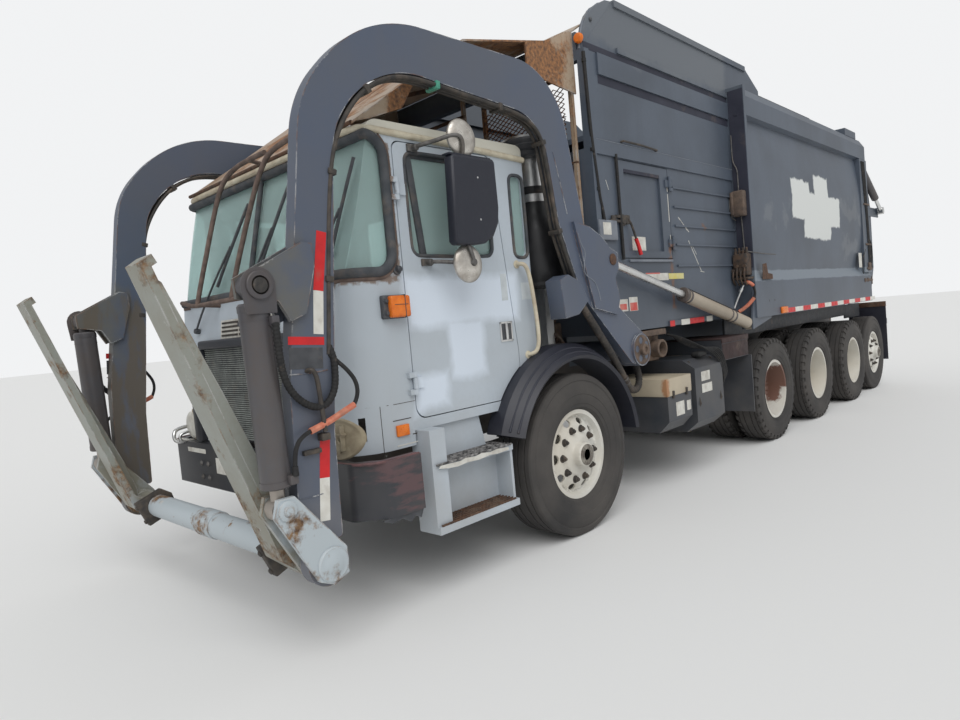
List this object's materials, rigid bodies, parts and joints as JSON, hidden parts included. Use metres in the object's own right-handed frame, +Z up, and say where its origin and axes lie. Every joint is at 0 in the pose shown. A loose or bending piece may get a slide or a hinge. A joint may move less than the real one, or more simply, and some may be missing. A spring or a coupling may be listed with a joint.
{
  "type": "garbage truck",
  "caption": "Front-loading garbage truck with a grey cab-over cab, lift arms with forks, a hopper, a packer body, a tailgate and a pusher, twin drive and tag axle.",
  "frame": {"origin": "on the ground, in the middle of the truck's length and width", "axes": "+X to the truck's left, +Y to its rear, +Z up"},
  "size_m": [2.55, 10.7559, 3.8099],
  "materials": {
    "tyre": "worn black rubber",
    "wheel_white": "white paint gone cream, rust at the edges",
    "chassis": "black paint, dusty",
    "cab": "light grey paint, faded",
    "glass": "green-tinted",
    "black_plastic": "weathered",
    "interior": "matte",
    "bumper": "black paint with worn scratches",
    "stack": "chrome tube",
    "boxes": "dusty paint",
    "body": "dark slate blue-grey paint, scratched",
    "forks": "pale blue-grey paint with rust",
    "barrel_dark": "dark brown-grey paint",
    "barrel_beige": "beige paint, dusty",
    "rod": "polished rod",
    "canopy": "rusted orange paint"
  },
  "bodies": {
    "truck": {"frame_rails": "chassis", "front_axle": "chassis", "rear_axles": "chassis", "engine": "chassis", "cab_shell": "cab", "cab_glass": "glass", "cab_interior": "interior", "grille": "black_plastic", "bumper": "bumper", "wheel_guards": "black_plastic", "cab_steps": "chassis", "air_intake": "stack", "boxes_and_tanks": "boxes", "hopper": "body", "body_sides": "body", "body_roof": "body", "body_floor": "body", "canopy": "canopy"},
    "wheel_front_left": {"tyre_front_left": "tyre", "wheel_front_left": "wheel_white"},
    "wheel_front_right": {"tyre_front_right": "tyre", "wheel_front_right": "wheel_white"},
    "wheel_pusher_left": {"tyre_pusher_left": "tyre", "wheel_pusher_left": "wheel_white"},
    "wheel_pusher_right": {"tyre_pusher_right": "tyre", "wheel_pusher_right": "wheel_white"},
    "wheel_drive_front_left": {"tyre_drive_front_left": "tyre", "wheel_drive_front_left": "wheel_white"},
    "wheel_drive_front_right": {"tyre_drive_front_right": "tyre", "wheel_drive_front_right": "wheel_white"},
    "wheel_drive_rear_left": {"tyre_drive_rear_left": "tyre", "wheel_drive_rear_left": "wheel_white"},
    "wheel_drive_rear_right": {"tyre_drive_rear_right": "tyre", "wheel_drive_rear_right": "wheel_white"},
    "wheel_tag_left": {"tyre_tag_left": "tyre", "wheel_tag_left": "wheel_white"},
    "wheel_tag_right": {"tyre_tag_right": "tyre", "wheel_tag_right": "wheel_white"},
    "steer_left": {"knuckle_left": "chassis"},
    "steer_right": {"knuckle_right": "chassis"},
    "door_left": {"door_left": "cab", "door_glass_left": "glass", "mirrors_left": "black_plastic"},
    "door_right": {"door_right": "cab", "door_glass_right": "glass", "mirrors_right": "black_plastic"},
    "side_door": {"side_door": "body"},
    "packing_blade": {"packing_blade": "body"},
    "hopper_lid": {"hopper_lid": "body"},
    "lift_arms": {"lift_arms": "body"},
    "forks": {"forks": "forks"},
    "tailgate": {"tailgate": "body"},
    "fork_cylinder_barrels": {"fork_cylinder_barrels": "barrel_dark"},
    "fork_cylinder_rods": {"fork_cylinder_rods": "rod"},
    "arm_cylinder_barrels": {"arm_cylinder_barrels": "barrel_beige"},
    "arm_cylinder_rods": {"arm_cylinder_rods": "rod"},
    "tailgate_cylinder_barrels": {"tailgate_cylinder_barrels": "barrel_dark"},
    "tailgate_cylinder_rods": {"tailgate_cylinder_rods": "rod"}
  },
  "joints": [
    {"name": "spin_front_left", "type": "hinge", "parent": "steer_left", "child": "wheel_front_left", "pos_m": [0, -2.772, 0.54], "axis": [1, 0, 0], "continuous": true},
    {"name": "spin_front_right", "type": "hinge", "parent": "steer_right", "child": "wheel_front_right", "pos_m": [0, -2.772, 0.54], "axis": [1, 0, 0], "continuous": true},
    {"name": "spin_pusher_left", "type": "hinge", "parent": "truck", "child": "wheel_pusher_left", "pos_m": [0, 0.598, 0.52], "axis": [1, 0, 0], "continuous": true},
    {"name": "spin_pusher_right", "type": "hinge", "parent": "truck", "child": "wheel_pusher_right", "pos_m": [0, 0.598, 0.52], "axis": [1, 0, 0], "continuous": true},
    {"name": "spin_drive_front_left", "type": "hinge", "parent": "truck", "child": "wheel_drive_front_left", "pos_m": [0, 1.928, 0.525], "axis": [1, 0, 0], "continuous": true},
    {"name": "spin_drive_front_right", "type": "hinge", "parent": "truck", "child": "wheel_drive_front_right", "pos_m": [0, 1.928, 0.525], "axis": [1, 0, 0], "continuous": true},
    {"name": "spin_drive_rear_left", "type": "hinge", "parent": "truck", "child": "wheel_drive_rear_left", "pos_m": [0, 3.338, 0.525], "axis": [1, 0, 0], "continuous": true},
    {"name": "spin_drive_rear_right", "type": "hinge", "parent": "truck", "child": "wheel_drive_rear_right", "pos_m": [0, 3.338, 0.525], "axis": [1, 0, 0], "continuous": true},
    {"name": "spin_tag_left", "type": "hinge", "parent": "truck", "child": "wheel_tag_left", "pos_m": [0, 4.478, 0.52], "axis": [1, 0, 0], "continuous": true},
    {"name": "spin_tag_right", "type": "hinge", "parent": "truck", "child": "wheel_tag_right", "pos_m": [0, 4.478, 0.52], "axis": [1, 0, 0], "continuous": true},
    {"name": "steering_left", "type": "hinge", "parent": "truck", "child": "steer_left", "pos_m": [0.905, -2.772, 0.54], "axis": [0, 0, 1], "range_deg": [-35, 35]},
    {"name": "steering_right", "type": "hinge", "parent": "truck", "child": "steer_right", "pos_m": [-0.905, -2.772, 0.54], "axis": [0, 0, 1], "range_deg": [-35, 35]},
    {"name": "door_left_hinge", "type": "hinge", "parent": "truck", "child": "door_left", "pos_m": [1.066, -4.049, 1.7], "axis": [0, 0, -1], "range_deg": [0, 70]},
    {"name": "door_right_hinge", "type": "hinge", "parent": "truck", "child": "door_right", "pos_m": [-1.066, -4.049, 1.7], "axis": [0, 0, 1], "range_deg": [0, 70]},
    {"name": "side_door_hinge", "type": "hinge", "parent": "truck", "child": "side_door", "pos_m": [1.093, -1.11, 2.24], "axis": [0, 0, -1], "range_deg": [-100, 0]},
    {"name": "packer_slide", "type": "slide", "parent": "truck", "child": "packing_blade", "axis": [0, 1, 0], "range_m": [0, 5.6]},
    {"name": "lid_slide", "type": "slide", "parent": "truck", "child": "hopper_lid", "axis": [0, 1, 0], "range_m": [-2.4, 0]},
    {"name": "arm_lift", "type": "hinge", "parent": "truck", "child": "lift_arms", "pos_m": [0, -1.972, 1.165], "axis": [-1, 0, 0], "range_deg": [0, 90]},
    {"name": "fork_tilt", "type": "hinge", "parent": "lift_arms", "child": "forks", "pos_m": [0, -4.777, 0.462], "axis": [1, 0, 0], "range_deg": [0, 80]},
    {"name": "tailgate_lift", "type": "hinge", "parent": "truck", "child": "tailgate", "pos_m": [0, 4.228, 3.56], "axis": [1, 0, 0], "range_deg": [0, 80]},
    {"name": "arm_cylinder_swing", "type": "hinge", "parent": "truck", "child": "arm_cylinder_barrels", "pos_m": [0, 0.16, 1.215], "axis": [1, 0, 0], "range_deg": [0, 4.05]},
    {"name": "arm_cylinder_stroke", "type": "slide", "parent": "arm_cylinder_barrels", "child": "arm_cylinder_rods", "axis": [0, 0.9695, -0.2451], "range_m": [0, 1.0355]},
    {"name": "fork_cylinder_swing", "type": "hinge", "parent": "lift_arms", "child": "fork_cylinder_barrels", "pos_m": [0, -4.991, 1.719], "axis": [-1, 0, 0], "range_deg": [0, 5.7]},
    {"name": "fork_cylinder_stroke", "type": "slide", "parent": "fork_cylinder_barrels", "child": "fork_cylinder_rods", "axis": [0, 0.0197, -0.9998], "range_m": [0, 0.441]},
    {"name": "tailgate_cylinder_swing", "type": "hinge", "parent": "truck", "child": "tailgate_cylinder_barrels", "pos_m": [0, 4.348, 3.13], "axis": [1, 0, 0], "range_deg": [0, 81.75]},
    {"name": "tailgate_cylinder_stroke", "type": "slide", "parent": "tailgate_cylinder_barrels", "child": "tailgate_cylinder_rods", "axis": [0, 0.8716, -0.4903], "range_m": [0, 0.5735]}
  ],
  "couplings": [
    {"joint": "steering_right", "follows": "steering_left", "ratio": 1},
    {"joint": "arm_cylinder_swing", "follows": "arm_lift", "ratio": 0.04445},
    {"joint": "arm_cylinder_stroke", "follows": "arm_lift", "m_per_rad": 0.65856},
    {"joint": "fork_cylinder_swing", "follows": "fork_tilt", "ratio": 0.07058},
    {"joint": "fork_cylinder_stroke", "follows": "fork_tilt", "m_per_rad": 0.31511},
    {"joint": "tailgate_cylinder_swing", "follows": "tailgate_lift", "ratio": 1.0212},
    {"joint": "tailgate_cylinder_stroke", "follows": "tailgate_lift", "m_per_rad": 0.41003}
  ]
}
